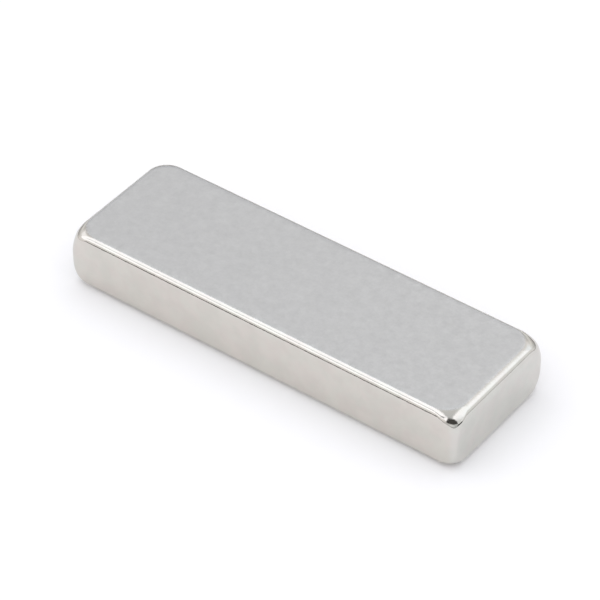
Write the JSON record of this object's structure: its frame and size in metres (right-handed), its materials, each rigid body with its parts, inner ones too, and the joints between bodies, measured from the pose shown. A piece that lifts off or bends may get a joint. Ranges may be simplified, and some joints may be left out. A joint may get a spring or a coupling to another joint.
{
  "type": "block magnet",
  "caption": "Low rectangular block magnet, nickel plated, with two flat pole faces, rounded rims and worn corners.",
  "frame": {"origin": "centre of the lower pole face, the bottom of the block", "axes": "+X along the block's length, +Z through its thickness along the magnetised direction, out of the upper pole face"},
  "size_m": [0.025, 0.008, 0.0036],
  "materials": {
    "nickel_plating": "satin nickel plating, duller on the ground pole faces and brighter on the tumbled sides and rims"
  },
  "bodies": {
    "root": {"block_magnet": "nickel_plating"}
  },
  "joints": []
}
